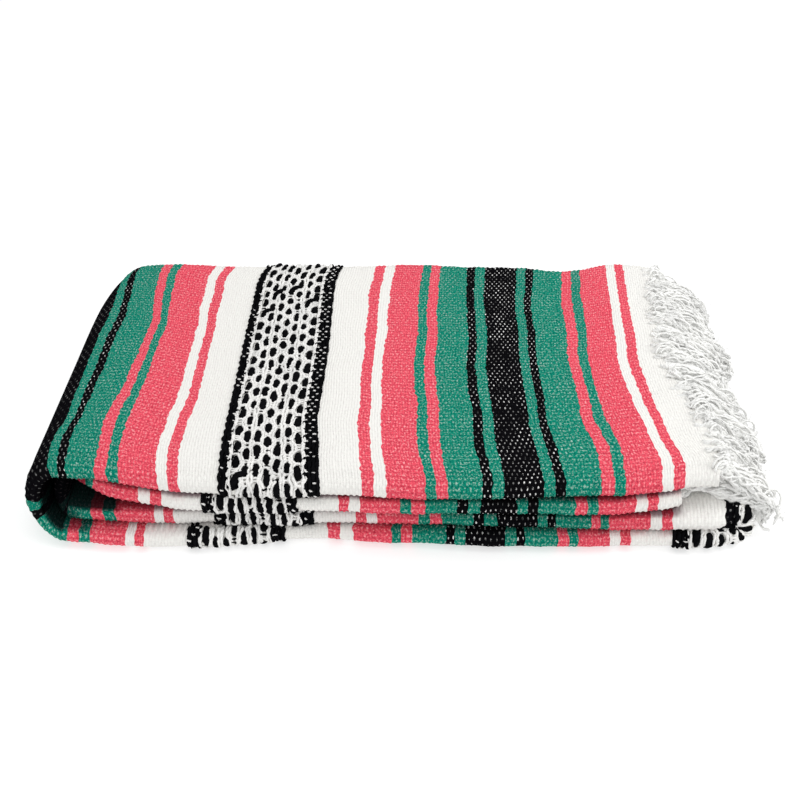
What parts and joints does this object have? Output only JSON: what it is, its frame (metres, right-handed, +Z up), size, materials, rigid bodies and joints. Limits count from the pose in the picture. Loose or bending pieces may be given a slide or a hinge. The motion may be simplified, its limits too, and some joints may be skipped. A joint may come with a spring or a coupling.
{
  "type": "folded mexican blanket",
  "caption": "Striped woven blanket, folded flat into a thick pad with rounded folds and a fringed end; lies on a shelf, seat or floor as a soft furnishing",
  "frame": {"origin": "middle of the box round the folded blanket, on the surface it lies on", "axes": "+X along the blanket's folded length, from the rounded folds to the fringe; +Y across it, away from the viewer, from the rounded front edges to the layered back edges; +Z up"},
  "size_m": [0.5328, 0.3282, 0.0571],
  "materials": {
    "woven_coral": "matt woven cotton and acrylic, coral with stripes",
    "woven_green": "matt woven cotton and acrylic, green with stripes",
    "woven_white": "matt woven cotton and acrylic, white with stripes",
    "woven_black": "matt woven cotton and acrylic, black with stripes",
    "fringe_yarn": "loose twisted white yarn",
    "fringe_yarn_low": "loose twisted white yarn, second layer"
  },
  "bodies": {
    "root": {"upper_stretch": "woven_coral", "lower_stretch": "woven_green", "inner_stretch": "woven_white", "hidden_layers": "woven_black", "upper_fringe": "fringe_yarn", "inner_fringe": "fringe_yarn_low"}
  },
  "joints": []
}
